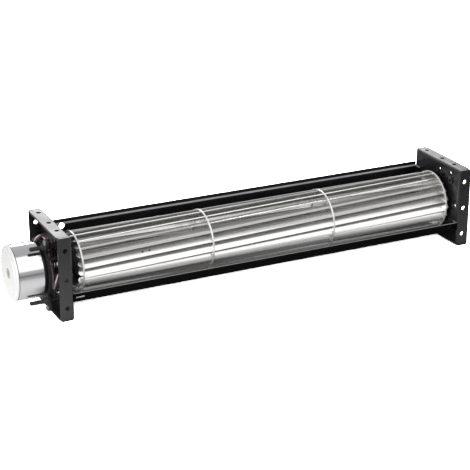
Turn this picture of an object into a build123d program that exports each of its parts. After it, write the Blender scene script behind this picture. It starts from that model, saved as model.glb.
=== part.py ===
"""Cross flow fan: a long bladed rotor between two folded trays, with its motor outside one of them.

X runs along the rotor, with the motor at the low end. Y runs from front to back and Z points up.
The origin is under the middle of the whole fan, on the face that the trays stand on. Millimetres.
"""

from build123d import *
import os
from math import cos, radians, sin, sqrt

os.makedirs("parts", exist_ok=True)

# Folded trays
tray_height = 46.5
tray_depth = 47.5
tray_width = 7.6
tray_sheet = 1.2
tray_bend = 1.6
corner_gap = 0.4
flange_corner = 1.0

# Holes in the trays, some of them measured from the edges of the tray's web
flange_hole_radius = 1.3
flange_hole_inset = 3.8
flange_hole_pitch = 16.0
top_hole_places = (-12.0, 0.6, 17.3)
collar_inset_y = 8.75
collar_inset_z = 8.25
collar_radius = 2.2
collar_height = 0.7
collar_bore = 1.2
web_hole_radius = 1.15
web_hole_spread = 13.8
web_hole_inset = 4.05
middle_hole_y = -2.5
middle_hole_inset = 4.75
front_hole_inset = 3.85
front_hole_rise = 1.0
drain_slot_length = 10.5
drain_slot_width = 4.5
drain_slot_y = -0.6
drain_slot_inset = 6.45
drive_opening_radius = 9.0

# Rotor
shaft_drop = 0.9
disc_radius = 17.0
disc_sheet = 0.8
bay_length = 74.8
rotor_start = 8.3
bearing_gap = 3.7
middle_disc_bore = 10.5
blade_count = 20
blade_outer = 16.7
blade_inner = 13.2
blade_lean = 12.0
blade_camber = 0.9
blade_sheet = 0.45
blade_tip = 2.2
blade_skew = 23.2
blade_phase = 11.2
blade_stations = 4
slot_clearance = 0.08

# Rotor hubs and the bearing at the far end
hub_flange_radius = 7.0
hub_flange = 1.2
hub_radius = 4.2
shaft_clearance = 0.03
stub_radius = 2.0
stub_hub_reach = 1.2
washer_thickness = 0.5
washer_radius = 3.8
end_play = 0.3
bush_radius = 4.0
bush_length = 5.6
bearing_hole_radius = 7.0
bearing_mount_radius = 9.2
bearing_mount_lip = 1.2
bearing_mount_boss = 6.2
ring_thickness = 0.6
ring_radius = 3.4
ring_groove = 0.35
shaft_chamfer = 0.4
stub_tail = 0.8

# Motor
motor_radius = 15.1
motor_length = 14.3
motor_wall = 0.7
motor_floor = 0.8
motor_standoff = 11.7
cap_thickness = 1.1
cap_step = 0.3
cap_step_radius = 10.8
cap_boss_radius = 4.4
cap_spigot = 1.2
motor_bearing_radius = 3.0
motor_bearing_length = 3.6
motor_shaft_radius = 1.5
stator_inner = 9.0
stator_length = 7.0
stator_slots = 6
stator_slot_width = 1.6
air_gap = 0.6
board_thickness = 1.0
magnet_radius = stator_inner - air_gap
base_boss = 1.3
base_boss_radius = 12.5
base_thickness = 1.4
base_radius = 16.3
base_bore = 4.0
flange_sheet = 0.8
flange_disc_radius = 13.4
ear_past_mount = 2.9
ear_radius = 2.6
flange_ear_radius = 2.3
mount_angles = (-1.0, 122.5, 236.5)
mount_tails = (8.4, 7.9, 9.4)
mount_share = 0.39
mount_neck = 1.5
mount_body = 3.0
mount_body_length = 2.4
mount_collar = 1.0
mount_collar_radius = 2.2
mount_foot = 1.4
mount_foot_radius = 2.5
mount_bulge = 2.0
mount_bulge_length = 2.0
mount_tail_radius = 1.15
hole_clearance = 0.1
screw_past_mount = 3.8
screw_head_radius = 1.65
screw_head = 1.1
screw_shank = 0.9
cross_recess_width = 0.45
cross_recess_depth = 0.5

# Drive coupling
sleeve_radius = 2.8
drive_hub_reach = 6.0
shaft_reach = 5.0

# Rear guide plate
guide_sheet = 0.8
guide_set_in = 1.75
ledge_rise = 13.65
ledge_slope = 0.65
ledge_depth = 0.9
upstand = 1.85
guide_bend = 6.5
ledge_low_bend = 0.9
ledge_high_bend = 0.3
guide_foot_z = 0.9
guide_foot_reach = 7.2
guide_hole_radius = 1.7
guide_hole_inset = 10.4
guide_hole_drop = 1.15
tab_reach = 4.6
tab_height = 9.0
tab_corner = 1.4
tab_spread = 9.5

# Front guide strip
strip_drop = 12.6
strip_height = 5.0
strip_gap = 1.89
strip_leg_relief = 8.0
strip_bend = 1.2
strip_slot_length = 5.4
strip_slot_height = 1.1
strip_slot_rise = 2.65
strip_tab_reach = 5.4
front_rivet_inset = 3.3

# Rivets
rivet_shank = 1.1
rivet_head_radius = 1.9
rivet_head = 0.8
rivet_dome = 0.5

# Leads, with their bends placed from the shaft and from the tray's front
lead_radius = 0.45
lead_spread = 1.7
lead_pitch = 1.4
lead_lane = 0.6
lead_start_y = 4.6
lead_start_rise = 13.2
lead_start_step = 0.35
lead_side = 0.9
lead_rise = 17.0
lead_rise_step = 0.4
lead_over = 2.4
lead_over_step = 1.2
lead_arch_rise = 18.1
lead_arch_step = 1.1
lead_drop_y = 19.95
lead_drop_lag = 1.4
lead_drop_rise = 16.8
lead_sway_y = 12.55
lead_sway_rise = -1.6
lead_hook_y = 13.55
lead_hook_rise = -10.9
lead_gain = 0.5
lead_end_inset = 3.4
lead_end_rise = 3.2
bend_share = 0.45
tie_wall = 0.4
tie_band = 1.2
tie_place = 0.5
tie_tail_length = 2.6

# Places across the fan
shaft_z = tray_height / 2 - shaft_drop
tray_mid_z = tray_height / 2
tray_front = -tray_depth / 2
tray_inner = tray_depth / 2 - tray_sheet
wall_y = tray_depth / 2 - guide_set_in
ledge_z = shaft_z + ledge_rise
guide_foot_y = wall_y - guide_foot_reach
tab_places = (shaft_z - tab_spread, shaft_z + tab_spread)
strip_low_z = shaft_z - strip_drop
strip_leg_z = strip_drop - guide_sheet
strip_leg = tray_depth / 2 - sqrt((disc_radius + strip_gap) ** 2 - strip_leg_z**2)
mount_circle = motor_radius + mount_share * (tray_inner - motor_radius)
ear_reach = mount_circle + ear_past_mount
screw_circle = mount_circle + screw_past_mount
collar_y = tray_depth / 2 - collar_inset_y
collar_z = tray_height / 2 - collar_inset_z
web_holes = (
    (-web_hole_spread, tray_height / 2 - web_hole_inset),
    (middle_hole_y, tray_height / 2 - middle_hole_inset),
    (web_hole_spread, tray_height / 2 - web_hole_inset),
    (tray_front + front_hole_inset, front_hole_rise),
)

# Places along the fan
web_gap = rotor_start + 3 * bay_length + bearing_gap
motor_reach = motor_standoff + motor_length + cap_thickness + cap_step
overall_length = motor_reach + web_gap + tray_width
web_left = motor_reach - overall_length / 2
web_right = web_left + web_gap
disc_places = [web_left + rotor_start + bay * bay_length for bay in range(4)]
blade_start = disc_places[0] - blade_tip
blade_length = disc_places[3] + blade_tip - blade_start
can_rear = web_left - motor_standoff
can_open = can_rear - motor_length
cap_face = can_open - cap_thickness
base_front = can_rear + base_boss
flange_front = base_front + base_thickness
flange_rear = flange_front + flange_sheet
tray_outer_left = web_left - tray_sheet


def shaft_plane(x, angle=0.0):
    """A plane across the rotor's axis at x, its own x axis pointing outward at the angle."""
    outward = (0, cos(radians(angle)), sin(radians(angle)))
    return Plane(origin=(x, 0, shaft_z), x_dir=outward, z_dir=(1, 0, 0))


def lathe_plane(y=0.0, z=shaft_z):
    """The plane of a turned profile: its x runs along the fan and its y away from the axis."""
    return Plane(origin=(0, y, z), x_dir=(1, 0, 0), z_dir=(0, -1, 0))


def on_circle(radius, angle):
    """A point of the shaft plane, given by its distance from the axis and its angle."""
    return (radius * cos(radians(angle)), radius * sin(radians(angle)))


def turned(name, outline, y=0.0, z=shaft_z):
    """A round piece from a closed outline of (x, radius) points, turned about a line along X."""
    with BuildPart() as piece:
        with BuildSketch(lathe_plane(y, z)):
            with BuildLine():
                Polyline(*outline, close=True)
            make_face()
        revolve(axis=Axis((0, y, z), (1, 0, 0)))
    piece.part.label = name
    export_step(piece.part, f"parts/{name}.step")


def tube_outline(start, end, inner, outer):
    """The outline of a plain ring or bush."""
    return [(start, inner), (end, inner), (end, outer), (start, outer)]


def blade_corners(clearance=0.0):
    """Convex and concave arcs of a blade's section, outer edge on the local x axis."""
    outer = Vector(blade_outer + clearance, 0)
    inner = Vector(*on_circle(blade_inner, -blade_lean))
    along = (outer - inner).normalized()
    inner = inner - along * clearance
    across = Vector(-along.Y, along.X)
    middle = (inner + outer) * 0.5 - across * blade_camber
    half = blade_sheet / 2 + clearance
    convex = [point - across * half for point in (inner, middle, outer)]
    concave = [point + across * half for point in (outer, middle, inner)]
    return convex, concave


def skew_at(x):
    """The blades' angle at a place along the rotor."""
    return blade_phase - blade_skew * (x - blade_start) / blade_length


def bracket(name, web_x, outward, bore, mount_holes):
    """A tray folded from one sheet: a web across the fan and four flanges that point away."""
    with BuildPart() as tray:
        with BuildSketch(Plane.YZ.offset(web_x)):
            with Locations((0, tray_mid_z)):
                Rectangle(tray_depth, tray_height)
        extrude(amount=outward * tray_width)
        web_edges = tray.edges().filter_by(Axis.X, reverse=True).filter_by_position(
            Axis.X, web_x - 0.01, web_x + 0.01
        )
        fillet(web_edges, radius=tray_bend)
        with BuildSketch(Plane.YZ.offset(web_x + outward * tray_sheet)):
            with Locations((0, tray_mid_z)):
                Rectangle(tray_depth - 2 * tray_sheet, tray_height - 2 * tray_sheet)
        extrude(amount=outward * tray_width, mode=Mode.SUBTRACT)
        # Open corners, where two flanges meet without joining
        gap_y = tray_depth / 2 - tray_sheet - corner_gap / 2
        with BuildSketch(Plane.YZ.offset(web_x + outward * tray_bend)):
            with Locations((gap_y, tray_mid_z), (-gap_y, tray_mid_z)):
                Rectangle(corner_gap, tray_height)
        extrude(amount=outward * tray_width, mode=Mode.SUBTRACT)
        # Rounded free corners, two on each flange
        rim_x = web_x + outward * tray_width
        rim_edges = tray.edges().filter_by_position(Axis.X, rim_x - 0.01, rim_x + 0.01)
        fillet([edge for edge in rim_edges if edge.length < 2 * tray_sheet], radius=flange_corner)
        # Holes in the four flanges
        hole_x = web_x + outward * flange_hole_inset
        with BuildSketch(Plane.XZ.offset(-tray_depth / 2)):
            for step in (-1, 0, 1):
                with Locations((hole_x, tray_mid_z + step * flange_hole_pitch)):
                    Circle(flange_hole_radius)
        extrude(amount=tray_depth, mode=Mode.SUBTRACT)
        with BuildSketch(Plane.XY):
            for y in top_hole_places:
                with Locations((hole_x, y)):
                    Circle(flange_hole_radius)
        extrude(amount=tray_height, mode=Mode.SUBTRACT)
        # Raised collars on the rotor's side of the web, for tapped holes
        collars = [(y * collar_y, tray_mid_z + z * collar_z) for y in (-1, 1) for z in (-1, 1)]
        with BuildSketch(Plane.YZ.offset(web_x - outward * collar_height)):
            with Locations(*collars):
                Circle(collar_radius)
        extrude(amount=outward * (collar_height + tray_sheet / 2))
        with BuildSketch(Plane.YZ.offset(web_x - outward * collar_height)):
            with Locations(*collars):
                Circle(collar_bore)
            for y, z in web_holes:
                with Locations((y, tray_mid_z + z)):
                    Circle(web_hole_radius)
            with Locations((drain_slot_y, drain_slot_inset)):
                SlotOverall(drain_slot_length, drain_slot_width)
            with Locations((0, shaft_z)):
                Circle(bore)
            for angle in mount_holes:
                y, z = on_circle(mount_circle, angle)
                with Locations((y, shaft_z + z)):
                    Circle(mount_neck + hole_clearance)
            for y, z in rivet_places():
                with Locations((y, z)):
                    Circle(rivet_shank + hole_clearance / 2)
        extrude(amount=outward * (collar_height + tray_sheet), mode=Mode.SUBTRACT)
    tray.part.label = name
    export_step(tray.part, f"parts/{name}.step")


def rear_rivet_places():
    """Rivets through the rear guide plate's tabs, as (y, z)."""
    return [(wall_y - tab_reach / 2 + guide_sheet / 2, z) for z in tab_places]


def front_rivet_places():
    """Rivets through the front strip's tabs, as (y, z)."""
    return [(front_rivet_inset - tray_depth / 2, strip_low_z + strip_height / 2)]


def rivet_places():
    """All rivet holes of one tray's web, as (y, z)."""
    return rear_rivet_places() + front_rivet_places()


bracket("motor_end_bracket", web_left, -1, drive_opening_radius, mount_angles)
bracket("bearing_end_bracket", web_right, 1, bearing_hole_radius, [])


# Rear guide plate: a set-back upstand over a ledge, an upright wall and a foot under the rotor
with BuildPart() as rear_plate:
    with BuildSketch(Plane.YZ.offset(web_left)):
        with BuildLine():
            FilletPolyline(
                (wall_y + ledge_depth, ledge_z + ledge_slope + upstand),
                (wall_y + ledge_depth, ledge_z + ledge_slope),
                (wall_y, ledge_z),
                (wall_y, guide_foot_z),
                (guide_foot_y, guide_foot_z),
                radius=[ledge_high_bend, ledge_low_bend, guide_bend],
            )
            offset(amount=guide_sheet, side=Side.LEFT)
        make_face()
    extrude(amount=web_gap)
    for end_x, inward in ((web_left, 1), (web_right, -1)):
        with BuildSketch(Plane.YZ.offset(end_x)):
            for z in tab_places:
                with Locations((wall_y - tab_reach / 2 + guide_sheet / 2, z)):
                    RectangleRounded(tab_reach + guide_sheet, tab_height, tab_corner)
        extrude(amount=inward * guide_sheet)
        with BuildSketch(Plane.YZ.offset(end_x)):
            with Locations(*rear_rivet_places()):
                Circle(rivet_shank + hole_clearance / 2)
        extrude(amount=inward * guide_sheet, mode=Mode.SUBTRACT)
    with BuildSketch(Plane.XZ.offset(-tray_depth / 2)):
        with Locations((web_left + guide_hole_inset, ledge_z - guide_hole_drop)):
            Circle(guide_hole_radius)
    extrude(amount=guide_set_in + guide_sheet, mode=Mode.SUBTRACT)
rear_plate.part.label = "rear_guide_plate"
export_step(rear_plate.part, "parts/rear_guide_plate.step")


# Front guide strip: an upright face, a leg turned in under the rotor and a tab at each end
strip_front = tray_front
with BuildPart() as front_strip:
    with BuildSketch(Plane.YZ.offset(web_left)):
        with BuildLine():
            Polyline(
                (strip_front, strip_low_z + strip_height),
                (strip_front, strip_low_z),
                (strip_front + strip_leg, strip_low_z),
                (strip_front + strip_leg, strip_low_z + guide_sheet),
                (strip_front + guide_sheet, strip_low_z + guide_sheet),
                (strip_front + guide_sheet, strip_low_z + strip_height),
                close=True,
            )
        make_face()
    extrude(amount=web_gap)
    long_edges = front_strip.edges().filter_by(Axis.X).sort_by(Axis.Z)
    fillet(long_edges.group_by(Axis.Z)[0].sort_by(Axis.Y)[0], radius=strip_bend)
    with BuildSketch(Plane.XY.offset(strip_low_z)):
        for relief_x in (web_left + strip_leg_relief / 2, web_right - strip_leg_relief / 2):
            with Locations((relief_x, strip_front + strip_bend + strip_leg / 2)):
                Rectangle(strip_leg_relief, strip_leg)
    extrude(amount=guide_sheet, mode=Mode.SUBTRACT)
    for end_x, inward in ((web_left, 1), (web_right, -1)):
        with BuildSketch(Plane.YZ.offset(end_x)):
            with Locations((strip_front + strip_tab_reach / 2, strip_low_z + strip_height / 2)):
                RectangleRounded(strip_tab_reach, strip_height, tab_corner)
        extrude(amount=inward * guide_sheet)
        with BuildSketch(Plane.YZ.offset(end_x)):
            with Locations(*front_rivet_places()):
                Circle(rivet_shank + hole_clearance / 2)
        extrude(amount=inward * guide_sheet, mode=Mode.SUBTRACT)
    slot_inset = guide_sheet + strip_slot_length / 2
    with BuildSketch(Plane.XZ.offset(-strip_front)):
        for slot_x in (web_left + slot_inset, web_right - slot_inset):
            with Locations((slot_x, strip_low_z + strip_slot_rise)):
                SlotOverall(strip_slot_length, strip_slot_height)
    extrude(amount=-guide_sheet, mode=Mode.SUBTRACT)
front_strip.part.label = "front_guide_strip"
export_step(front_strip.part, "parts/front_guide_strip.step")


def rivets(name, places):
    """Domed rivets through tab and web, at both ends of a guide."""
    grip = tray_sheet + guide_sheet
    outline = [
        (-rivet_head, 0),
        (-rivet_head, rivet_head_radius - rivet_dome),
        (-rivet_head + rivet_dome, rivet_head_radius),
        (0, rivet_head_radius),
        (0, rivet_shank),
        (grip, rivet_shank),
        (grip, rivet_head_radius),
        (grip + rivet_head - rivet_dome, rivet_head_radius),
        (grip + rivet_head, rivet_head_radius - rivet_dome),
        (grip + rivet_head, 0),
    ]
    with BuildPart() as group:
        for grip_x in (web_left - tray_sheet, web_right - guide_sheet):
            for y, z in places:
                with BuildSketch(lathe_plane(y, z)):
                    with BuildLine():
                        Polyline(*[(grip_x + x, radius) for x, radius in outline], close=True)
                    make_face()
                revolve(axis=Axis((0, y, z), (1, 0, 0)))
    group.part.label = name
    export_step(group.part, f"parts/{name}.step")


rivets("rear_plate_rivets", rear_rivet_places())
rivets("front_strip_rivets", front_rivet_places())


# Blades: long strips of sheet, arched in section and skewed along the rotor
for number in range(blade_count):
    with BuildPart() as blade:
        for station in range(blade_stations):
            x = blade_start + blade_length * station / (blade_stations - 1)
            angle = skew_at(x) + number * 360 / blade_count
            with BuildSketch(shaft_plane(x, angle)):
                with BuildLine():
                    convex, concave = blade_corners()
                    ThreePointArc(*convex)
                    Line(convex[2], concave[0])
                    ThreePointArc(*concave)
                    Line(concave[2], convex[0])
                make_face()
        loft()
    blade_name = f"blade_{number + 1:02d}"
    blade.part.label = blade_name
    export_step(blade.part, f"parts/{blade_name}.step")


def disc(name, x, bore):
    """A stamped disc with a slot for each blade, turned to the blades' angle at its place."""
    with BuildPart() as plate:
        with BuildSketch(shaft_plane(x - disc_sheet / 2)):
            Circle(disc_radius)
            Circle(bore, mode=Mode.SUBTRACT)
        extrude(amount=disc_sheet)
        for number in range(blade_count):
            angle = skew_at(x) + number * 360 / blade_count
            with BuildSketch(shaft_plane(x - disc_sheet / 2, angle)):
                with BuildLine():
                    convex, concave = blade_corners(slot_clearance)
                    ThreePointArc(*convex)
                    Line(convex[2], concave[0])
                    ThreePointArc(*concave)
                    Line(concave[2], convex[0])
                make_face()
        extrude(amount=disc_sheet, mode=Mode.SUBTRACT)
    plate.part.label = name
    export_step(plate.part, f"parts/{name}.step")


disc("rotor_disc_drive_end", disc_places[0], hub_radius)
disc("rotor_disc_middle_1", disc_places[1], middle_disc_bore)
disc("rotor_disc_middle_2", disc_places[2], middle_disc_bore)
disc("rotor_disc_bearing_end", disc_places[3], hub_radius)


# Motor can: a drawn cup, closed towards the rotor, with a seat for the inner bearing
bearing_bore = motor_shaft_radius + shaft_clearance
with BuildPart() as can:
    with BuildSketch(lathe_plane()):
        with BuildLine():
            Polyline(
                (can_open, motor_radius),
                (can_rear, motor_radius),
                (can_rear, motor_bearing_radius),
                (can_rear - motor_floor, motor_bearing_radius),
                (can_rear - motor_floor, motor_radius - motor_wall),
                (can_open, motor_radius - motor_wall),
                close=True,
            )
        make_face()
    revolve(axis=Axis((0, 0, shaft_z), (1, 0, 0)))
    rear_rim = can.edges().filter_by(GeomType.CIRCLE).group_by(Axis.X)[-1].sort_by(SortBy.RADIUS)[-1]
    fillet(rear_rim, radius=motor_floor)
can.part.label = "motor_can"
export_step(can.part, "parts/motor_can.step")

# End cap: a stepped disc with a spigot that sits in the can
with BuildPart() as end_cap:
    with BuildSketch(lathe_plane()):
        with BuildLine():
            Polyline(
                (can_open + cap_spigot, motor_bearing_radius),
                (cap_face - cap_step, motor_bearing_radius),
                (cap_face - cap_step, cap_step_radius),
                (cap_face, cap_step_radius + cap_step),
                (cap_face, motor_radius),
                (can_open, motor_radius),
                (can_open, motor_radius - motor_wall),
                (can_open + cap_spigot, motor_radius - motor_wall),
                close=True,
            )
        make_face()
    revolve(axis=Axis((0, 0, shaft_z), (1, 0, 0)))
    cap_rim = end_cap.edges().filter_by(GeomType.CIRCLE).filter_by_position(
        Axis.X, cap_face - 0.01, cap_face + 0.01
    )
    fillet(cap_rim.sort_by(SortBy.RADIUS)[-1], radius=cap_thickness * 0.8)
end_cap.part.label = "motor_end_cap"
export_step(end_cap.part, "parts/motor_end_cap.step")

bearing_front = cap_face - cap_step
turned(
    "motor_bearing_outer",
    tube_outline(
        bearing_front, bearing_front + motor_bearing_length, bearing_bore, motor_bearing_radius
    ),
)
turned(
    "motor_bearing_inner",
    tube_outline(
        can_rear - motor_bearing_length, can_rear, bearing_bore, motor_bearing_radius
    ),
)

# Stator: a ring of iron and windings with slots between its poles
stator_front = (can_rear + can_open - stator_length) / 2
with BuildPart() as stator:
    with BuildSketch(shaft_plane(stator_front)):
        Circle(motor_radius - motor_wall)
        Circle(stator_inner, mode=Mode.SUBTRACT)
        with PolarLocations((stator_inner + motor_radius - motor_wall) / 2 - 1, stator_slots):
            Rectangle(motor_radius - stator_inner, stator_slot_width, mode=Mode.SUBTRACT)
    extrude(amount=stator_length)
stator.part.label = "motor_stator"
export_step(stator.part, "parts/motor_stator.step")

stator_rear = stator_front + stator_length
turned(
    "motor_board",
    tube_outline(
        stator_rear,
        stator_rear + board_thickness,
        motor_bearing_radius + air_gap,
        motor_radius - motor_wall - air_gap,
    ),
)
turned(
    "motor_magnet",
    tube_outline(stator_front, stator_rear - end_play, motor_shaft_radius, magnet_radius),
)
shaft_end = disc_places[0] + shaft_reach
turned(
    "motor_shaft",
    [
        (bearing_front + end_play, 0),
        (bearing_front + end_play, motor_shaft_radius - shaft_chamfer),
        (bearing_front + end_play + shaft_chamfer, motor_shaft_radius),
        (shaft_end - shaft_chamfer, motor_shaft_radius),
        (shaft_end, motor_shaft_radius - shaft_chamfer),
        (shaft_end, 0),
    ],
)


def eared_plate(name, front, thickness, disc_size, ear_size, boss):
    """A round plate with three ears, each with a mount's hole and a screw's hole."""
    with BuildPart() as plate:
        with BuildSketch(shaft_plane(front)):
            Circle(disc_size)
            for angle in mount_angles:
                with Locations(on_circle(ear_reach / 2, angle)):
                    SlotCenterToCenter(ear_reach, 2 * ear_size, rotation=angle)
            Circle(base_bore, mode=Mode.SUBTRACT)
            for angle in mount_angles:
                with Locations(on_circle(mount_circle, angle)):
                    Circle(mount_neck + hole_clearance, mode=Mode.SUBTRACT)
                with Locations(on_circle(screw_circle, angle)):
                    Circle(screw_shank + hole_clearance / 2, mode=Mode.SUBTRACT)
        extrude(amount=thickness)
        if boss:
            with BuildSketch(shaft_plane(front)):
                Circle(base_boss_radius)
                Circle(base_bore, mode=Mode.SUBTRACT)
            extrude(amount=-boss)
    plate.part.label = name
    export_step(plate.part, f"parts/{name}.step")


eared_plate("motor_base", base_front, base_thickness, base_radius, ear_radius, base_boss)
eared_plate(
    "motor_flange", flange_front, flange_sheet, flange_disc_radius, flange_ear_radius, 0
)

# Screws: pan heads with a cross recess, through base and flange
with BuildPart() as screws:
    for angle in mount_angles:
        y, z = on_circle(screw_circle, angle)
        with BuildSketch(lathe_plane(y, shaft_z + z)):
            with BuildLine():
                Polyline(
                    (base_front - screw_head, 0),
                    (base_front - screw_head, screw_head_radius * 0.6),
                    (base_front - screw_head * 0.6, screw_head_radius),
                    (base_front, screw_head_radius),
                    (base_front, screw_shank),
                    (flange_rear, screw_shank),
                    (flange_rear, 0),
                    close=True,
                )
            make_face()
        revolve(axis=Axis((0, y, shaft_z + z), (1, 0, 0)))
        with BuildSketch(Plane.YZ.offset(base_front - screw_head)):
            with Locations((y, shaft_z + z)):
                Rectangle(screw_head_radius * 1.2, cross_recess_width)
                Rectangle(cross_recess_width, screw_head_radius * 1.2)
        extrude(amount=cross_recess_depth, mode=Mode.SUBTRACT)
screws.part.label = "motor_screws"
export_step(screws.part, "parts/motor_screws.step")

# Rubber mounts: a foot inside the web, a body between web and flange, a lock and a long tail
for number, angle in enumerate(mount_angles):
    y, z = on_circle(mount_circle, angle)
    tail_end = base_front - mount_tails[number]
    turned(
        f"motor_mount_{number + 1}",
        [
            (tail_end, 0),
            (tail_end, mount_tail_radius * 0.6),
            (tail_end + mount_tail_radius * 0.5, mount_tail_radius),
            (base_front - mount_bulge_length, mount_tail_radius),
            (base_front, mount_bulge),
            (base_front, mount_neck),
            (flange_rear, mount_neck),
            (flange_rear, mount_collar_radius),
            (flange_rear + mount_collar, mount_collar_radius),
            (flange_rear + mount_collar, mount_neck),
            (tray_outer_left - mount_body_length, mount_neck),
            (tray_outer_left - mount_body_length, mount_body),
            (tray_outer_left, mount_body),
            (tray_outer_left, mount_neck),
            (web_left, mount_neck),
            (web_left, mount_foot_radius),
            (web_left + mount_foot, mount_foot_radius * 0.8),
            (web_left + mount_foot, 0),
        ],
        y,
        shaft_z + z,
    )

# Drive hub and its rubber sleeve
drive_disc_face = disc_places[0] + disc_sheet / 2
hub_start = disc_places[0] - disc_sheet / 2 - drive_hub_reach + hub_flange
turned(
    "drive_hub",
    [
        (hub_start, sleeve_radius),
        (drive_disc_face + hub_flange, sleeve_radius),
        (drive_disc_face + hub_flange, hub_flange_radius),
        (drive_disc_face, hub_flange_radius),
        (drive_disc_face, hub_radius),
        (hub_start, hub_radius),
    ],
)
turned(
    "coupling_sleeve",
    tube_outline(
        hub_start, drive_disc_face + hub_flange, motor_shaft_radius, sleeve_radius
    ),
)

# Far end: hub, shaft, washer, bush, rubber mount and retaining ring
stub_disc_face = disc_places[3] - disc_sheet / 2
hub_nose = disc_places[3] + disc_sheet / 2 + stub_hub_reach
washer_face = hub_nose + washer_thickness
bush_start = washer_face + end_play
bush_end = bush_start + bush_length
ring_start = bush_end + end_play
ring_end = ring_start + ring_thickness
stub_end = ring_end + stub_tail
stub_start = stub_disc_face - hub_flange
turned(
    "stub_hub",
    [
        (stub_start, stub_radius),
        (hub_nose, stub_radius),
        (hub_nose, hub_radius),
        (stub_disc_face, hub_radius),
        (stub_disc_face, hub_flange_radius),
        (stub_start, hub_flange_radius),
    ],
)
turned(
    "stub_shaft",
    [
        (stub_start, 0),
        (stub_start, stub_radius),
        (ring_start, stub_radius),
        (ring_start, stub_radius - ring_groove),
        (ring_end, stub_radius - ring_groove),
        (ring_end, stub_radius),
        (stub_end - shaft_chamfer, stub_radius),
        (stub_end, stub_radius - shaft_chamfer),
        (stub_end, 0),
    ],
)
turned("thrust_washer", tube_outline(hub_nose, washer_face, stub_radius, washer_radius))
turned(
    "bearing_bush",
    tube_outline(bush_start, bush_end, stub_radius + shaft_clearance, bush_radius),
)
web_outer_right = web_right + tray_sheet
turned(
    "bearing_mount",
    [
        (web_right - bearing_mount_lip, bush_radius),
        (bush_end, bush_radius),
        (bush_end, bearing_mount_boss),
        (web_outer_right + bearing_mount_lip, bearing_mount_boss),
        (web_outer_right + bearing_mount_lip, bearing_mount_radius),
        (web_outer_right, bearing_mount_radius),
        (web_outer_right, bearing_hole_radius),
        (web_right, bearing_hole_radius),
        (web_right, bearing_mount_radius),
        (web_right - bearing_mount_lip, bearing_mount_radius),
    ],
)
turned(
    "retaining_ring",
    tube_outline(ring_start, ring_end, stub_radius - ring_groove, ring_radius),
)


# Leads: out between can and base, over into the tray, down to a hook and up to the front flange
lead_x = (can_rear + base_front) / 2
lead_names = ("lead_white", "lead_red", "lead_black")
for number, lead_name in enumerate(lead_names):
    side = number * lead_spread
    gain = number * lead_gain
    lane = web_left - tray_width + lead_lane + number * lead_pitch
    start_z = shaft_z + lead_start_rise + number * lead_start_step
    rise_z = shaft_z + lead_rise + number * lead_rise_step
    arch_x = lead_x + lead_over + number * lead_over_step
    arch_z = shaft_z + lead_arch_rise + number * lead_arch_step
    drop_y = tray_front + lead_drop_y - number * lead_drop_lag
    sway_y = tray_front + lead_sway_y + gain
    route = [
        (lead_x, lead_start_y - side, start_z),
        (lead_x, lead_side - side, rise_z),
        (arch_x, lead_side - side, arch_z),
        (lane, drop_y, shaft_z + lead_drop_rise),
        (lane, sway_y, shaft_z + lead_sway_rise),
        (lane, tray_front + lead_hook_y + gain, shaft_z + lead_hook_rise),
        (lane, tray_front + lead_end_inset, shaft_z + lead_end_rise),
    ]
    bends = []
    for before, corner, after in zip(route, route[1:], route[2:]):
        run_in = Vector(*corner) - Vector(*before)
        run_out = Vector(*after) - Vector(*corner)
        turn = run_in.get_angle(run_out)
        shorter = min(run_in.length, run_out.length)
        bends.append(bend_share * shorter * cos(radians(turn / 2)) / sin(radians(turn / 2)))
    with BuildPart() as lead:
        with BuildLine():
            path = FilletPolyline(*route, radius=bends)
        with BuildSketch(Plane(origin=path @ 0, z_dir=path % 0)):
            Circle(lead_radius)
        sweep()
    print(lead_name, "length", round(path.length, 1), "bend radii", [round(r, 1) for r in bends])
    lead.part.label = lead_name
    export_step(lead.part, f"parts/{lead_name}.step")

# Tie: a thin band round the three leads on their way down, with its tail cut short
drop_top = Vector(lane - lead_pitch, drop_y + lead_drop_lag, shaft_z + lead_drop_rise)
drop_low = Vector(lane - lead_pitch, sway_y - lead_gain, shaft_z + lead_sway_rise)
drop_way = (drop_top - drop_low).normalized()
tie_centre = drop_top + (drop_low - drop_top) * tie_place
lag_there = lead_drop_lag * (1 - tie_place) - lead_gain * tie_place
lead_step = Vector(lead_pitch, -lag_there, 0)
row = lead_step - drop_way * lead_step.dot(drop_way)
tie_inner = 2 * lead_radius + 4 * hole_clearance
tie_length = 2 * row.length + tie_inner
with BuildPart() as tie:
    with BuildSketch(Plane(origin=tie_centre, x_dir=row, z_dir=drop_way)):
        RectangleRounded(tie_length + 2 * tie_wall, tie_inner + 2 * tie_wall, tie_wall)
        RectangleRounded(tie_length, tie_inner, tie_wall / 2, mode=Mode.SUBTRACT)
        with Locations((0, -(tie_inner + tie_wall + tie_tail_length) / 2)):
            Rectangle(tie_band, tie_wall + tie_tail_length)
    extrude(amount=tie_band / 2, both=True)
tie.part.label = "lead_tie"
export_step(tie.part, "parts/lead_tie.step")
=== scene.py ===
# %% [markdown]
# # A cross flow fan, dressed for its portrait
#
# The fan is a long rotor of skewed aluminium blades between two black folded trays. A small
# can motor hangs outside the left tray on three rubber mounts. Every solid comes from the CAD
# model and stays where it is. Here each one gets its finish, the blades and discs are built
# again with a wider and flatter section, and bright disc edges, a seam and two dents are added.

# %% Load the frame
import math

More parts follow.
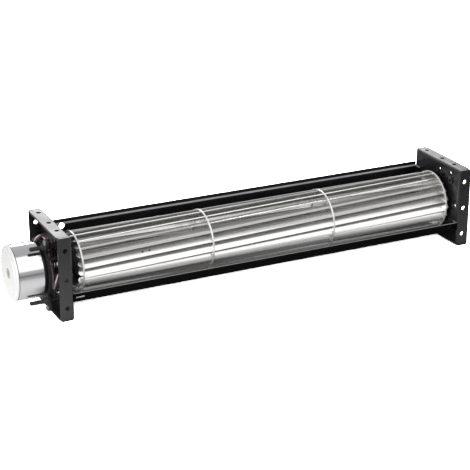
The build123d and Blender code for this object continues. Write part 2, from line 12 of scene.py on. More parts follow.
import bmesh
import bpy
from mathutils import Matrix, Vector


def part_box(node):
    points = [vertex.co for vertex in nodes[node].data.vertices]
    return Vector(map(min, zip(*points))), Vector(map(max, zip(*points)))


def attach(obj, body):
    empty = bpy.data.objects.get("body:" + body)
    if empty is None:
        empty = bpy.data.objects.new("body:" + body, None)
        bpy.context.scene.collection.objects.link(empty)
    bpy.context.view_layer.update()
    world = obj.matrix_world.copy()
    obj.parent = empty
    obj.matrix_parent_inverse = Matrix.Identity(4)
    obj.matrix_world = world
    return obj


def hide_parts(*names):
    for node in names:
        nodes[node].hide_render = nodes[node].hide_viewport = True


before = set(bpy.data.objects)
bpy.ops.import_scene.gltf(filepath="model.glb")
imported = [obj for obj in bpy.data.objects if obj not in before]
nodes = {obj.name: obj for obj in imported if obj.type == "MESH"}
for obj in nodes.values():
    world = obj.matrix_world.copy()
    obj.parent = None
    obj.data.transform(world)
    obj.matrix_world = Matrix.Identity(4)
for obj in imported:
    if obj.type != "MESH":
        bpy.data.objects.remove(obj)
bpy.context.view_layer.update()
scene = bpy.context.scene

# %% [markdown]
# The camera comes first. It stands in front of the fan, to the left of the motor and above it,
# and looks at the middle of the rotor. A wide lens from near by would make the far tray look
# small, so a long lens from further off keeps it nearly as large as the near one.

# %% Camera
camera_place = Vector((-0.33412, -0.68281, 0.32036))
camera_target = Vector((-0.00433, 0.0, 0.02136))
camera_data = bpy.data.cameras.new("portrait_camera")
camera_data.lens = 111.8
camera_data.sensor_width = 36.0
camera_data.clip_start = 0.01
camera = bpy.data.objects.new("portrait_camera", camera_data)
camera.location = camera_place
camera.rotation_euler = (camera_target - camera_place).to_track_quat("-Z", "Y").to_euler()
scene.collection.objects.link(camera)
scene.camera = camera
scene.view_settings.view_transform = "Standard"
print("camera", round((camera_target - camera_place).length, 3), "m away")

# %% [markdown]
# Finishes are made of shader nodes. Each one could be wired by hand, but they all start with the
# same Principled shader, so a helper makes it. The helper sets plain numbers on the shader
# itself, because only those survive an export.


# %% A helper for finishes
def finish(name, color, roughness=0.4, metallic=0.0, **sockets):
    """A new material with its Principled shader."""
    material = bpy.data.materials.new(name)
    material.use_nodes = True
    shader = material.node_tree.nodes["Principled BSDF"]
    shader.inputs["Base Color"].default_value = (*color, 1.0)
    shader.inputs["Roughness"].default_value = roughness
    shader.inputs["Metallic"].default_value = metallic
    for socket, value in sockets.items():
        shader.inputs[socket.replace("_", " ")].default_value = value
    return material, material.node_tree, shader


def add(tree, kind, **values):
    """A shader node, with values for its sockets or its own settings."""
    node = tree.nodes.new(kind)
    for key, value in values.items():
        if key in node.inputs:
            node.inputs[key].default_value = value
        else:
            setattr(node, key, value)
    return node


print("finish and add are ready")

# %% [markdown]
# No real surface is even. Paint has dust in it, metal has rolling lines and rubber has bloom. A
# noise texture in object coordinates gives such variation. It sticks to the part when it turns,
# and its scale can be stretched along one axis to make lines.


# %% Helpers for texture
def grain(tree, scale, stretch=(1.0, 1.0, 1.0), detail=4.0, name="ShaderNodeTexNoise"):
    """Noise in object coordinates, stretched along the axes of the part."""
    place = add(tree, "ShaderNodeTexCoord")
    mapping = add(tree, "ShaderNodeMapping")
    mapping.inputs["Scale"].default_value = stretch
    noise = add(tree, name, Scale=scale)
    if "Detail" in noise.inputs:
        noise.inputs["Detail"].default_value = detail
    tree.links.new(place.outputs["Object"], mapping.inputs["Vector"])
    tree.links.new(mapping.outputs["Vector"], noise.inputs["Vector"])
    return noise


def vary(tree, source, low, high, target, start=0.35, end=0.65):
    """Drive a socket between two values with a texture."""
    spread = add(tree, "ShaderNodeMapRange")
    spread.inputs["From Min"].default_value = start
    spread.inputs["From Max"].default_value = end
    spread.inputs["To Min"].default_value = low
    spread.inputs["To Max"].default_value = high
    tree.links.new(source, spread.inputs["Value"])
    tree.links.new(spread.outputs["Result"], target)


def tint(tree, source, low, high, target, start=0.35, end=0.65):
    """Drive a colour between two colours with a texture."""
    ramp = add(tree, "ShaderNodeValToRGB")
    ramp.color_ramp.elements[0].position = start
    ramp.color_ramp.elements[1].position = end
    ramp.color_ramp.elements[0].color = (*low, 1.0)
    ramp.color_ramp.elements[1].color = (*high, 1.0)
    tree.links.new(source, ramp.inputs["Fac"])
    tree.links.new(ramp.outputs["Color"], target)


def relief(tree, shader, source, distance, strength=0.3):
    """Bumps from a texture."""
    bump = add(tree, "ShaderNodeBump", Strength=strength, Distance=distance)
    tree.links.new(source, bump.inputs["Height"])
    tree.links.new(bump.outputs["Normal"], shader.inputs["Normal"])


print("grain, vary, tint and relief are ready")

# %% [markdown]
# Some colours change at a known height of the part: a fold carries a painted highlight, and a
# bare edge carries one too. A second material on some faces would need those faces to be cut
# out. It is simpler to let the height of the shaded point choose between two colours.


# %% Helpers for bands
def height_of(tree):
    """The height of the shaded point in the part's own frame."""
    place = add(tree, "ShaderNodeTexCoord")
    split = add(tree, "ShaderNodeSeparateXYZ")
    tree.links.new(place.outputs["Object"], split.inputs["Vector"])
    return split.outputs["Z"]


def fade(tree, source, start, end, interpolation="LINEAR"):
    """A share that goes from 0 to 1 between two values of its source."""
    spread = add(tree, "ShaderNodeMapRange", interpolation_type=interpolation)
    spread.inputs["From Min"].default_value = start
    spread.inputs["From Max"].default_value = end
    tree.links.new(source, spread.inputs["Value"])
    return spread.outputs["Result"]


def blend(tree, share, first, second):
    """A mix of two colours, each written out or taken from another node."""
    mix = add(tree, "ShaderNodeMix", data_type="RGBA")
    tree.links.new(share, mix.inputs[0])
    for socket, color in ((mix.inputs[6], first), (mix.inputs[7], second)):
        if isinstance(color, tuple):
            socket.default_value = (*color, 1.0)
        else:
            tree.links.new(color, socket)
    return mix.outputs[2]


print("height_of, fade and blend are ready")

# %% [markdown]
# The trays are powder coated in charcoal. A very dark colour with a strong mirror on top mirrors
# the floor and the lamps more than it shows its own colour, as smooth powder does. Fine noise
# gives it the orange peel of such a coat, and coarse noise gives it dust.

# %% Tray paint
peel_size = 900.0
peel_depth = 0.00003
dust_size = 60.0
paint, tree, shader = finish("charcoal_coat", (0.009, 0.009, 0.010), 0.32, Specular_IOR_Level=1.0)
peel = grain(tree, peel_size, detail=2.0)
dust = grain(tree, dust_size, detail=6.0)
vary(tree, dust.outputs["Fac"], 0.27, 0.37, shader.inputs["Roughness"])
tint(
    tree,
    dust.outputs["Fac"],
    (0.004, 0.004, 0.0045),
    (0.010, 0.010, 0.0112),
    shader.inputs["Base Color"],
)
relief(tree, shader, peel.outputs["Fac"], peel_depth)
print(paint.name)

# %% [markdown]
# The long sheet behind the rotor wears a deeper black. Along the ledge under its upstand a pale
# line is a painted highlight, where the fold catches the lamps. Two fades, one that rises at the
# foot of the ledge and one that falls at its top, are multiplied to make that line, and noise
# breaks it up.

# %% Rear guide paint
guide_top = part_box("rear_guide_plate")[1][2]
ledge_top = guide_top - 0.0017
ledge_foot = guide_top - 0.00265
top_blur = 0.0002
foot_blur = 0.00025
guide_paint, tree, shader = finish("deep_black_coat", (0.003, 0.003, 0.003), 0.38, Specular_IOR_Level=0.22)
peel = grain(tree, peel_size, detail=2.0)
dust = grain(tree, dust_size, detail=6.0)
vary(tree, dust.outputs["Fac"], 0.32, 0.46, shader.inputs["Roughness"])
relief(tree, shader, peel.outputs["Fac"], peel_depth)
height = height_of(tree)
above_foot = fade(tree, height, ledge_foot, ledge_foot + foot_blur, "SMOOTHSTEP")
below_top = fade(tree, height, ledge_top, ledge_top - top_blur, "SMOOTHSTEP")
both = add(tree, "ShaderNodeMath", operation="MULTIPLY")
tree.links.new(above_foot, both.inputs[0])
tree.links.new(below_top, both.inputs[1])
# This share, broken up by noise, is the painted highlight along the fold.
ledge_highlight = add(tree, "ShaderNodeMath", operation="MULTIPLY")
tree.links.new(both.outputs[0], ledge_highlight.inputs[0])
highlight_breakup = grain(tree, 45.0, detail=5.0)
vary(tree, highlight_breakup.outputs["Fac"], 0.75, 1.0, ledge_highlight.inputs[1])
ledge_tone = blend(tree, ledge_highlight.outputs[0], (0.003, 0.003, 0.0032), (0.34, 0.34, 0.35))
tree.links.new(ledge_tone, shader.inputs["Base Color"])
print(guide_paint.name, "with a pale ledge at", round(ledge_top * 1000, 2), "mm")

# %% [markdown]
# The front strip is the flattest black on the fan and mirrors almost nothing. Its top edge was
# cut after painting and is bare, and the thin grey line it draws below the rotor is a painted
# highlight, where the edge catches the lamps.

# %% Front strip paint
strip_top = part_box("front_guide_strip")[1][2]
bare_highlight_from = strip_top - 0.00007
bare_highlight_to = strip_top - 0.00001
strip_black = (0.0025, 0.0025, 0.0025)
strip_paint, tree, shader = finish("flat_black_coat", strip_black, 0.6, Specular_IOR_Level=0.04)
peel = grain(tree, peel_size, detail=2.0)
vary(tree, peel.outputs["Fac"], 0.52, 0.68, shader.inputs["Roughness"])
relief(tree, shader, peel.outputs["Fac"], peel_depth)
# The grey along the top edge is a painted highlight on the bare metal.
bare_highlight = fade(tree, height_of(tree), bare_highlight_from, bare_highlight_to)
edge_tone = blend(tree, bare_highlight, strip_black, (0.30, 0.30, 0.30))
tree.links.new(edge_tone, shader.inputs["Base Color"])
print(strip_paint.name, "with a bare edge at", round(strip_top * 1000, 2), "mm")

# %% [markdown]
# Rolled aluminium strip has fine lines along its length. Noise that is drawn out along the
# blade, over a thousand times longer than it is wide, gives them. They change only the
# roughness, because they are too shallow to show as bumps. About a quarter of the shader is
# matt, as a hazy strip is, which lets light reach the narrow gaps between the blades.

# %% Blade metal
blade_metal, tree, shader = finish("rolled_aluminium", (0.90, 0.895, 0.88), 0.20, 0.76)
lines = grain(tree, 40.0, (0.02, 30.0, 30.0), detail=3.0)
cloud = grain(tree, 30.0, (0.3, 1.0, 1.0), detail=3.0)
vary(tree, lines.outputs["Fac"], 0.17, 0.25, shader.inputs["Roughness"])
tint(tree, cloud.outputs["Fac"], (0.87, 0.865, 0.85), (0.92, 0.915, 0.90), shader.inputs["Base Color"])
print(blade_metal.name)

# %% [markdown]
# The discs are stamped from sheet and scuffed evenly, so noise without a direction will do, with
# a little relief. Their sheared edges look brighter than their faces. Most of the shader of
# such an edge is matt, because a burr scatters light.

# %% Disc metals
disc_metal, tree, shader = finish("stamped_aluminium", (0.84, 0.83, 0.81), 0.26, 1.0)
swirl = grain(tree, 300.0)
vary(tree, swirl.outputs["Fac"], 0.24, 0.38, shader.inputs["Roughness"])
relief(tree, shader, swirl.outputs["Fac"], 0.00002, 0.2)

edge_metal, tree, shader = finish("sheared_edge", (0.92, 0.92, 0.91), 0.30, 0.3)
burr = grain(tree, 600.0, detail=3.0)
vary(tree, burr.outputs["Fac"], 0.25, 0.38, shader.inputs["Roughness"])
print(disc_metal.name, edge_metal.name)

# %% [markdown]
# The motor can is drawn steel with a bright skin, and faint rings from polishing run round it.
# They come from noise that is stretched along the motor's axis. The cap is satin, so its noise
# is fine and even, and most of its shader is matt.

# %% Can and cap
can_metal, tree, shader = finish("drawn_steel", (0.80, 0.80, 0.81), 0.16, 1.0)
rings = grain(tree, 60.0, (60.0, 1.0, 1.0))
vary(tree, rings.outputs["Fac"], 0.09, 0.17, shader.inputs["Roughness"])
relief(tree, shader, rings.outputs["Fac"], 0.00001, 0.15)

cap_metal, tree, shader = finish("satin_cap", (0.90, 0.90, 0.895), 0.42, 0.3)
fine = grain(tree, 700.0, detail=3.0)
vary(tree, fine.outputs["Fac"], 0.38, 0.50, shader.inputs["Roughness"])
relief(tree, shader, fine.outputs["Fac"], 0.00002, 0.2)
print(can_metal.name, cap_metal.name)

# %% [markdown]
# Zinc plate grows in small crystals, which Voronoi cells imitate. Sintered bronze is full of
# pores, so its noise is much finer and changes the colour as well as the surface.

# %% Screws and bearings
zinc, tree, shader = finish("dull_zinc", (0.30, 0.30, 0.31), 0.36, 1.0)
spangle = grain(tree, 500.0, name="ShaderNodeTexVoronoi")
vary(tree, spangle.outputs["Distance"], 0.26, 0.42, shader.inputs["Roughness"], 0.0, 0.6)

sintered, tree, shader = finish("sintered_bronze", (0.58, 0.52, 0.45), 0.62, 0.1)
pores = grain(tree, 2500.0, detail=2.0)
tint(tree, pores.outputs["Fac"], (0.46, 0.40, 0.34), (0.68, 0.62, 0.54), shader.inputs["Base Color"])
relief(tree, shader, pores.outputs["Fac"], 0.00005, 0.4)
print(zinc.name, sintered.name)

# %% [markdown]
# The shafts show fine turning marks round them. The iron inside the motor is a stack of plates,
# and bands of tone across its axis stand for their edges.

# %% Shafts and iron
shaft_steel, tree, shader = finish("ground_steel", (0.62, 0.62, 0.64), 0.22, 1.0)
turning = grain(tree, 80.0, (80.0, 1.0, 1.0), detail=2.0)
vary(tree, turning.outputs["Fac"], 0.18, 0.32, shader.inputs["Roughness"])

iron, tree, shader = finish("iron", (0.20, 0.19, 0.18), 0.55, 0.7)
plates = grain(tree, 50.0, (60.0, 1.0, 1.0), detail=2.0)
tint(tree, plates.outputs["Fac"], (0.12, 0.11, 0.11), (0.28, 0.26, 0.24), shader.inputs["Base Color"])
print(shaft_steel.name, iron.name)

# %% [markdown]
# Three blacks meet at the motor: moulded plastic, rubber and paint. They differ less in colour
# than in how they take light. The plastic has a fine stipple from its mould and a soft gloss,
# while rubber is rougher and carries a grey bloom.

# %% Black plastic and rubber
base_plastic, tree, shader = finish("moulded_black", (0.012, 0.012, 0.013), 0.45)
stipple = grain(tree, 1500.0, detail=2.0)
vary(tree, stipple.outputs["Fac"], 0.40, 0.52, shader.inputs["Roughness"])
relief(tree, shader, stipple.outputs["Fac"], 0.00003)

rubber, tree, shader = finish("black_rubber", (0.010, 0.010, 0.010), 0.58)
bloom = grain(tree, 400.0, detail=5.0)
tint(tree, bloom.outputs["Fac"], (0.008, 0.008, 0.008), (0.022, 0.022, 0.022), shader.inputs["Base Color"])
relief(tree, shader, bloom.outputs["Fac"], 0.00004, 0.25)
print(base_plastic.name, rubber.name)

# %% [markdown]
# Two pieces lie hidden inside: a thrust washer in ivory plastic and a green circuit board with
# the weave of its glass cloth. They could stay grey, but a later user may take the motor apart,
# so they get a simple colour with a texture over it.

# %% Washer and board
washer_plastic, tree, shader = finish("ivory_plastic", (0.80, 0.77, 0.68), 0.4)
tone = grain(tree, 300.0)
tint(tree, tone.outputs["Fac"], (0.74, 0.71, 0.62), (0.84, 0.81, 0.73), shader.inputs["Base Color"])

board, tree, shader = finish("circuit_board", (0.02, 0.18, 0.07), 0.3)
weave = grain(tree, 900.0, name="ShaderNodeTexVoronoi")
tint(
    tree,
    weave.outputs["Distance"],
    (0.015, 0.13, 0.05),
    (0.03, 0.22, 0.09),
    shader.inputs["Base Color"],
    start=0.1,
    end=0.6,
)
print(washer_plastic.name, board.name)

# %% [markdown]
# Three leads run side by side, white, red and black. Only their colours differ, so one function
# makes all three kinds of insulation.


# %% Lead insulation
def insulation(name, dark, light):
    """Soft lead insulation with a slight gloss."""
    material, tree, shader = finish(name, light, 0.32)
    tone = grain(tree, 250.0, detail=3.0)
    tint(tree, tone.outputs["Fac"], dark, light, shader.inputs["Base Color"])
    vary(tree, tone.outputs["Fac"], 0.28, 0.40, shader.inputs["Roughness"])
    return material


white_pvc = insulation("white_insulation", (0.54, 0.49, 0.50), (0.68, 0.63, 0.64))
red_pvc = insulation("red_insulation", (0.10, 0.028, 0.040), (0.16, 0.045, 0.060))
black_pvc = insulation("black_insulation", (0.008, 0.008, 0.008), (0.016, 0.016, 0.016))
print(white_pvc.name, red_pvc.name, black_pvc.name)

# %% [markdown]
# Each solid of the frame takes the finish of its real piece. A table by name is easy to read and
# to change. The blades and discs share two metals, so the loop picks those by how a name starts.

# %% Give every solid its finish
finish_of = {
    "motor_end_bracket": paint,
    "bearing_end_bracket": paint,
    "rear_guide_plate": guide_paint,
    "front_guide_strip": strip_paint,
    "rear_plate_rivets": guide_paint,
    "front_strip_rivets": strip_paint,
    "motor_can": can_metal,
    "motor_end_cap": cap_metal,
    "motor_bearing_outer": sintered,
    "motor_bearing_inner": sintered,
    "motor_stator": iron,
    "motor_magnet": iron,
    "motor_board": board,
    "motor_flange": guide_paint,
    "motor_base": base_plastic,
    "motor_screws": zinc,
    "motor_mount_1": rubber,
    "motor_mount_2": rubber,
    "motor_mount_3": rubber,
    "lead_white": white_pvc,
    "lead_red": red_pvc,
    "lead_black": black_pvc,
    "lead_tie": black_pvc,
    "bearing_mount": rubber,
    "bearing_bush": sintered,
    "coupling_sleeve": rubber,
    "motor_shaft": shaft_steel,
    "stub_shaft": shaft_steel,
    "retaining_ring": zinc,
    "drive_hub": rubber,
    "stub_hub": disc_metal,
    "thrust_washer": washer_plastic,
}
for name, node in nodes.items():
    if name.startswith("blade_"):
        material = blade_metal
    elif name.startswith("rotor_disc"):
        material = disc_metal
    else:
        material = finish_of[name]
    node.data.materials.clear()
    node.data.materials.append(material)
print("finished", len(nodes), "solids")

# %% [markdown]
# A rolled blade is a shallow arch: its face turns only a little between its two long edges, so
# it mirrors one patch of the studio from end to end. The CAD blade is narrower, more arched and
# keeps its full width at the ends. Each blade is skinned here from one section that is carried
# along the rotor and turned with the skew. These sizes drive the blades, the slots and the dents.

# %% Rotor sizes
disc_low, disc_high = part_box("rotor_disc_drive_end")
disc_radius = (disc_high[1] - disc_low[1]) / 2
shaft_z = (disc_low[2] + disc_high[2]) / 2
blade_count = 20
blade_outer = 0.0167
blade_inner = 0.0124
blade_lean = math.radians(18.0)
blade_camber = 0.0006
blade_sheet = 0.00045
blade_skew = math.radians(-23.2)
blade_phase = math.radians(11.2)
blade_low, blade_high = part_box("blade_01")
blade_start = blade_low[0]
blade_length = blade_high[0] - blade_start
print("blades", blade_count, "of", round(blade_length * 1000, 1), "mm")

# %% [markdown]
# The section is drawn on the chord, the straight line from the inner edge of the blade to the
# outer one. A share of the chord runs from -1 at the inner edge to 1 at the outer edge, and the
# camber lifts the middle off it. The slots in the discs are the same section with a clearance.

# %% Blade section
outer_edge = Vector((blade_outer, 0.0))
inner_edge = Vector((blade_inner * math.cos(blade_lean), -blade_inner * math.sin(blade_lean)))
chord_middle = (outer_edge + inner_edge) / 2
chord_reach = (outer_edge - inner_edge).length / 2
chord_along = (outer_edge - inner_edge).normalized()
chord_across = Vector((-chord_along.y, chord_along.x))


def on_chord(share, drop):
    """A point at a share of the chord, at a distance under the middle of the sheet."""
    sag = blade_camber * (1 - share * share) + drop
    return chord_middle + chord_along * chord_reach * share - chord_across * sag


def blade_section(clearance=0.0, width=1.0, steps=8):
    """Points round a blade's section, or round a part of its width."""
    half_sheet = blade_sheet / 2 + clearance
    widest = width + clearance / chord_reach
    shares = [(2 * step / steps - 1) * widest for step in range(steps + 1)]
    front = [on_chord(share, half_sheet) for share in shares]
    back = [on_chord(share, -half_sheet) for share in shares]
    return front + back[::-1]


print("chord", round(chord_reach * 2000, 2), "mm,", len(blade_section()), "points in a section")

# %% [markdown]
# Blades, dents and rims are all made in one way: a section is drawn at many places, and faces
# join each section to the next. One helper places a point on the rotor and one finds the blades'
# angle along it. Two more draw the faces, and the last makes an object of them that is smooth
# across the arch and sharp at the edges.


# %% Helpers for meshes
def on_rotor(x, point, angle):
    """A point of the section, turned about the shaft and placed along it."""
    y = point.x * math.cos(angle) - point.y * math.sin(angle)
    z = point.x * math.sin(angle) + point.y * math.cos(angle)
    return Vector((x, y, z + shaft_z))


def skew_at(x):
    """The blades' angle at a place along the rotor."""
    return blade_phase + blade_skew * (x - blade_start) / blade_length


def skin(build, rings):
    """Quads between each ring of vertices and the next."""
    for ring, following in zip(rings, rings[1:]):
        for step in range(len(ring)):
            after = (step + 1) % len(ring)
            build.faces.new((ring[step], ring[after], following[after], following[step]))


def close_ends(build, rings):
    """A face over the first ring and one over the last."""
    build.faces.new(rings[0])
    build.faces.new(rings[-1][::-1])


def piece_from(build, name, material, smooth_angle=35.0):
    """An object from a bmesh, shaded smooth between its sharp edges."""
    bmesh.ops.recalc_face_normals(build, faces=build.faces)
    mesh = bpy.data.meshes.new(name)
    build.to_mesh(mesh)
    build.free()
    mesh.materials.append(material)
    mesh.shade_smooth()
    mesh.set_sharp_from_angle(angle=math.radians(smooth_angle))
    piece = bpy.data.objects.new(name, mesh)
    scene.collection.objects.link(piece)
    return piece


print("on_rotor, skew_at, skin, close_ends and piece_from are ready")

# %% [markdown]
# At both ends of the rotor a blade narrows to a tab, which goes through the end disc and shows
# outside it as a small leaf. The stations list holds places along a blade with the width there,
# as a share of the full width. Few are needed where nothing changes but the skew.

# %% Blade stations
tab_width = {"drive_end": 0.52, "middle_1": 1.0, "middle_2": 1.0, "bearing_end": 0.80}
tab_reach = 0.0022
tab_shoulder = 0.0001
skew_steps = 24
near_round = ((0.0, 0.12), (0.00015, 0.28), (0.0005, 0.43), (0.0010, tab_width["drive_end"]))
far_round = ((0.0, 0.45), (0.00015, 0.60), (0.0005, 0.72), (0.0010, tab_width["bearing_end"]))
full_from = tab_reach + tab_shoulder
full_length = blade_length - 2 * full_from
stations = list(near_round)
stations += [(tab_reach, tab_width["drive_end"])]
stations += [(full_from + full_length * step / skew_steps, 1.0) for step in range(skew_steps + 1)]
stations += [(blade_length - tab_reach, tab_width["bearing_end"])]
stations += [(blade_length - place, width) for place, width in far_round[::-1]]
print(len(stations), "stations along each blade")

# %% [markdown]
# Each blade is its own strip, as in the real rotor, so each becomes an object of its own. It
# takes the place of the CAD blade with the same number and turns with the rotor.

# %% Blades
for number in range(blade_count):
    build = bmesh.new()
    rings = []
    for place, width in stations:
        x = blade_start + place
        angle = skew_at(x) + number * math.tau / blade_count
        section = blade_section(width=width)
        rings.append([build.verts.new(on_rotor(x, point, angle)) for point in section])
    skin(build, rings)
    close_ends(build, rings)
    blade = piece_from(build, f"rolled_blade_{number + 1:02d}", blade_metal)
    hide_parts(f"blade_{number + 1:02d}")
    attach(blade, "rotor")
print(blade_count, "blades, last is", blade.name)

# %% [markdown]
# Four discs hold the blades. Each is a flat ring with a slot for every blade. Cutting the slots
# with booleans would be slow and could leave stray edges. Instead all outlines are drawn in one
# plane, filled between, and raised to the disc's thickness.


# %% Discs
def loop(build, points):
    """A closed ring of edges."""
    corners = [build.verts.new(point) for point in points]
    return [build.edges.new((a, b)) for a, b in zip(corners, corners[1:] + corners[:1])]


def circle(x, radius, count):
    """Points of a circle about the shaft."""
    turns = [math.tau * step / count for step in range(count)]
    return [on_rotor(x, Vector((radius, 0.0)), turn) for turn in turns]


slot_clearance = 0.00008
rim_corners = 160
bore_corners = 72
hub_bore = 0.0042
air_bore = 0.0105
bores = {"drive_end": hub_bore, "middle_1": air_bore, "middle_2": air_bore, "bearing_end": hub_bore}
for place_name, bore in bores.items():
    low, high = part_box(f"rotor_disc_{place_name}")
    middle = (low[0] + high[0]) / 2
    slot_section = blade_section(slot_clearance, tab_width[place_name])
    build = bmesh.new()
    edges = loop(build, circle(low[0], disc_radius, rim_corners))
    edges += loop(build, circle(low[0], bore, bore_corners))
    for number in range(blade_count):
        angle = skew_at(middle) + number * math.tau / blade_count
        edges += loop(build, [on_rotor(low[0], point, angle) for point in slot_section])
    bmesh.ops.triangle_fill(build, edges=edges, use_beauty=True)
    sheet = bmesh.ops.extrude_face_region(build, geom=build.faces[:])
    raised = [item for item in sheet["geom"] if isinstance(item, bmesh.types.BMVert)]
    bmesh.ops.translate(build, verts=raised, vec=(high[0] - low[0], 0.0, 0.0))
    disc = piece_from(build, f"slotted_disc_{place_name}", disc_metal)
    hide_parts(f"rotor_disc_{place_name}")
    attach(disc, "rotor")
    print(disc.name, len(disc.data.polygons), "faces")

# %% [markdown]
# Two small dents sit side by side on the face of one blade in the first bay, and their shade is
# painted: each is a low dome of black plastic that lies on the blade's arch and follows its skew.
# Painting them with a texture would need a map of that face.

# %% Dents
dent_blade = 9
dent_places = (-0.0659, -0.0617)
dent_share = 0.1
dent_radius = 0.0006
dent_corners = 12
dent_profile = ((-0.0001, 1.0), (0.00005, 1.0), (0.00008, 0.7))


def dent(build, x):
    """A low black dome, the painted shade of a dent, on the front face of a blade."""
    angle = skew_at(x) + dent_blade * math.tau / blade_count
    rings = []
    for lift, size in dent_profile:
        ring = []
        for step in range(dent_corners):
            turn = math.tau * step / dent_corners
            share = dent_share + size * dent_radius * math.sin(turn) / chord_reach
            point = on_chord(share, blade_sheet / 2 + lift)
            ring.append(build.verts.new(on_rotor(x + size * dent_radius * math.cos(turn), point, angle)))
        rings.append(ring)
    skin(build, rings)
    close_ends(build, rings)


build = bmesh.new()
for dent_x in dent_places:
    dent(build, dent_x)
# The black of the dents is painted shade.
dents = piece_from(build, "blade_dents", base_plastic)
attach(dents, "rotor")
print(dents.name, len(dents.data.polygons), "faces")

# %% [markdown]
# The sheared edge of each disc is bare and bright, and draws a light line round the rotor. The
# same kind of ring serves for the seam of the motor below: a few points of a profile, swept
# once round the shaft.


# %% Disc rims
def ring_of(name, profile, material, count=96):
    """A ring swept about the shaft from points (x, radius)."""
    build = bmesh.new()
    rings = []
    for step in range(count):
        turn = math.tau * step / count
        rings.append([build.verts.new(on_rotor(x, Vector((r, 0.0)), turn)) for x, r in profile])
    skin(build, rings + rings[:1])
    return piece_from(build, name, material)


rim_proud = 0.00012
rim_root = 0.0001
rim_overlap = 0.00004
for place_name in bores:
    low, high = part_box(f"rotor_disc_{place_name}")
    rim = ring_of(
        f"disc_rim_{place_name}",
        [
            (low[0] - rim_overlap, disc_radius - rim_root),
            (low[0] - rim_overlap, disc_radius + rim_proud),
            (high[0] + rim_overlap, disc_radius + rim_proud),
            (high[0] + rim_overlap, disc_radius - rim_root),
        ],
        edge_metal,
    )
    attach(rim, "rotor")
print(edge_metal.name, "on", len(bores), "rims")

# %% [markdown]
# A dark bead of sealant shows as a thin line where the cap meets the can. A groove would need
# both solids to be cut, so the bead is a flat ring that stands a hair proud of the can.

# %% Cap seam
can_low, can_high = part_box("motor_can")
seam_x = can_low[0]
can_radius = (can_high[1] - can_low[1]) / 2
seam_foot = 0.00022
seam_crest = 0.00014
seam_proud = 0.00008
seam_root = 0.0001
seam = ring_of(
    "cap_seam",
    [
        (seam_x - seam_foot, can_radius - seam_root),
        (seam_x - seam_crest, can_radius + seam_proud),
        (seam_x + seam_crest, can_radius + seam_proud),
        (seam_x + seam_foot, can_radius - seam_root),
    ],
    base_plastic,
)
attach(seam, "frame")
print("seam", round(can_radius * 1000, 2), "mm in radius")

# %% [markdown]
# The floor is white and wide. Bright metal mirrors it, so its tone matters as much as a lamp.
# Under the fan it is grey, a painted shade on top of the real shadow there. Just past the fan it
# is bright and throws light into the blades and the can. Further off it greys, as a table does
# past its paper, and toward the right it greys as a painted falloff of light. A camera ray sees
# it white everywhere, and still finds a soft shadow under the fan. Such a floor takes two
# helpers: one for a step of vector arithmetic and one for a ramp of many tones.


# %% Helpers for the floor
def vector_step(tree, operation, vector, other=(0.0, 0.0, 0.0)):
    """One step of vector arithmetic."""
    node = add(tree, "ShaderNodeVectorMath", operation=operation)
    node.inputs[1].default_value = other
    tree.links.new(vector, node.inputs[0])
    return node.outputs["Value" if operation == "LENGTH" else "Vector"]


def color_steps(tree, source, stops):
    """A ramp through pairs of place and colour, the first at 0 and the last at 1."""
    ramp = add(tree, "ShaderNodeValToRGB")
    elements = ramp.color_ramp.elements
    for place, color in stops[1:-1]:
        elements.new(place)
    for element, (place, color) in zip(elements, stops):
        element.color = (*color, 1.0)
    tree.links.new(source, ramp.inputs["Fac"])
    return ramp.outputs["Color"]


print("vector_step and color_steps are ready")

# %% [markdown]
# A painted picture could give the floor its tones, but a few numbers are easier to move. The
# shader works out how far a point lies from a rectangle of shade under the fan. The point is
# measured from the middle of the shade and mirrored into one quarter, and what then lies past
# the half length and half depth is its distance from the edge. A ramp turns it into greys.

# %% Floor sheet
floor_side = 30.0
shade_middle = (0.013, 0.0, 0.0)
shade_half = (0.121, 0.016, 0.0)
paper_reach = 0.5
# The darkest stops, under the fan, are painted shade on top of the real shadow.
paper_and_shade_stops = ((0.0, 0.20), (0.012, 0.30), (0.03, 0.88), (0.08, 0.80), (0.21, 0.38), (1.0, 0.25))
bpy.ops.mesh.primitive_plane_add(size=floor_side, location=(0.0, 0.0, 0.0))
floor = bpy.context.object
floor.name = "white_floor"
floor_finish, tree, shader = finish("white_floor", (0.85, 0.85, 0.85), 0.9)
tree.nodes.remove(shader)
place = add(tree, "ShaderNodeTexCoord")
centred = vector_step(tree, "SUBTRACT", place.outputs["Object"], shade_middle)
mirrored_half = vector_step(tree, "ABSOLUTE", centred)
past_edge = vector_step(tree, "SUBTRACT", mirrored_half, shade_half)
outside = vector_step(tree, "MAXIMUM", past_edge)
distance = vector_step(tree, "LENGTH", outside)
paper_and_shade_tones = [(stop, (grey, grey, grey)) for stop, grey in paper_and_shade_stops]
paper_and_shade = color_steps(tree, fade(tree, distance, 0.0, paper_reach), paper_and_shade_tones)
print(floor.name, "round a shade of", shade_half[0] * 2, "by", shade_half[1] * 2, "m")

# %% [markdown]
# The blades mirror less light toward the right, so the paper's tone is scaled down along X, a
# painted falloff of light. The camera gets a colour far above white, so that only a real shadow
# brings it below white again. A matt shader is enough for paper.

# %% Floor tone
falloff_x = 0.22
left_gain = 1.25
right_gain = 0.45
camera_white = (6.5, 6.5, 6.5)
split = add(tree, "ShaderNodeSeparateXYZ")
tree.links.new(place.outputs["Object"], split.inputs["Vector"])
lit = add(tree, "ShaderNodeVectorMath", operation="SCALE")
tree.links.new(paper_and_shade, lit.inputs[0])
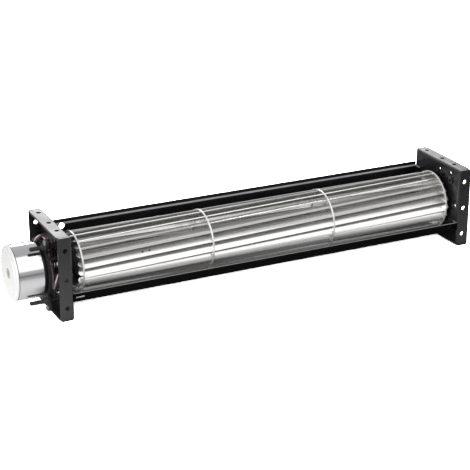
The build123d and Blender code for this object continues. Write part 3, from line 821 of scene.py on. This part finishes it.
# The gain that falls along X is a painted falloff of light toward the right.
vary(tree, split.outputs["X"], left_gain, right_gain, lit.inputs["Scale"], -falloff_x, falloff_x)
path = add(tree, "ShaderNodeLightPath")
floor_tone = blend(tree, path.outputs["Is Camera Ray"], lit.outputs[0], camera_white)
matt = add(tree, "ShaderNodeBsdfDiffuse")
tree.links.new(floor_tone, matt.inputs["Color"])
tree.links.new(matt.outputs[0], tree.nodes["Material Output"].inputs["Surface"])
floor.data.materials.append(floor_finish)
print(floor_finish.name, "falls from", left_gain, "to", right_gain, "over", falloff_x * 2, "m")

# %% [markdown]
# Bright metal only looks like metal when it has something to mirror. A picture of a real room
# could be wrapped round the scene, but a few tones by height are easier to tune. They are dark
# at the horizon, lightest half way up and a little darker overhead. Camera rays see plain white
# instead, which is the background of the picture.

# %% World
sky_tones = (
    (0.0, (0.27, 0.27, 0.272)),
    (0.15, (0.46, 0.46, 0.4646)),
    (0.55, (0.58, 0.58, 0.5858)),
    (0.80, (0.52, 0.52, 0.5252)),
    (1.0, (0.44, 0.44, 0.445)),
)
room_light = (0.55, 0.55, 0.55)
world = bpy.data.worlds.new("studio")
scene.world = world
world.use_nodes = True
tree = world.node_tree
path = add(tree, "ShaderNodeLightPath")
sky = add(tree, "ShaderNodeTexCoord")
split = add(tree, "ShaderNodeSeparateXYZ")
tree.links.new(sky.outputs["Generated"], split.inputs["Vector"])
ceiling = color_steps(tree, split.outputs["Z"], sky_tones)
seen = add(tree, "ShaderNodeMath", operation="MAXIMUM")
tree.links.new(path.outputs["Is Camera Ray"], seen.inputs[0])
tree.links.new(path.outputs["Is Transmission Ray"], seen.inputs[1])
plain = blend(tree, seen.outputs[0], room_light, (1.0, 1.0, 1.0))
studio = blend(tree, path.outputs["Is Glossy Ray"], plain, ceiling)
tree.links.new(studio, tree.nodes["Background"].inputs["Color"])
print(world.name, "with", len(sky_tones), "tones from horizon to ceiling")

# %% [markdown]
# Four large lamps light the fan. A small lamp would put a hard spot on every blade, while a large
# one gives a soft band. The key light and the front panel brighten the rotor, the back one lies
# on the top flanges, and the side one fills the cap of the motor.


# %% Lamps
def softbox(name, place, target, width, height, power):
    """A rectangular lamp, turned to face a point."""
    lamp = bpy.data.lights.new(name, "AREA")
    lamp.shape = "RECTANGLE"
    lamp.size = width
    lamp.size_y = height
    lamp.energy = power
    holder = bpy.data.objects.new(name, lamp)
    holder.location = place
    aim = Vector(target) - Vector(place)
    holder.rotation_euler = aim.to_track_quat("-Z", "Y").to_euler()
    scene.collection.objects.link(holder)


stand_middle = (0.0, 0.0, 0.0)
rotor_height = (0.0, 0.0, 0.02)
flange_height = (0.0, 0.0, 0.04)
softbox("key_softbox", (-0.8, -0.9, 1.1), stand_middle, width=0.8, height=0.7, power=5.0)
softbox("back_softbox", (0.42, 1.26, 0.60), flange_height, width=1.02, height=0.42, power=6.2)
softbox("front_panel", (0.40, -0.95, 1.15), rotor_height, width=1.25, height=1.75, power=5.6)
softbox("side_softbox", (-1.4, -0.35, 0.40), rotor_height, width=0.7, height=0.6, power=9.0)
print("lamps", [lamp.name for lamp in bpy.data.lights])
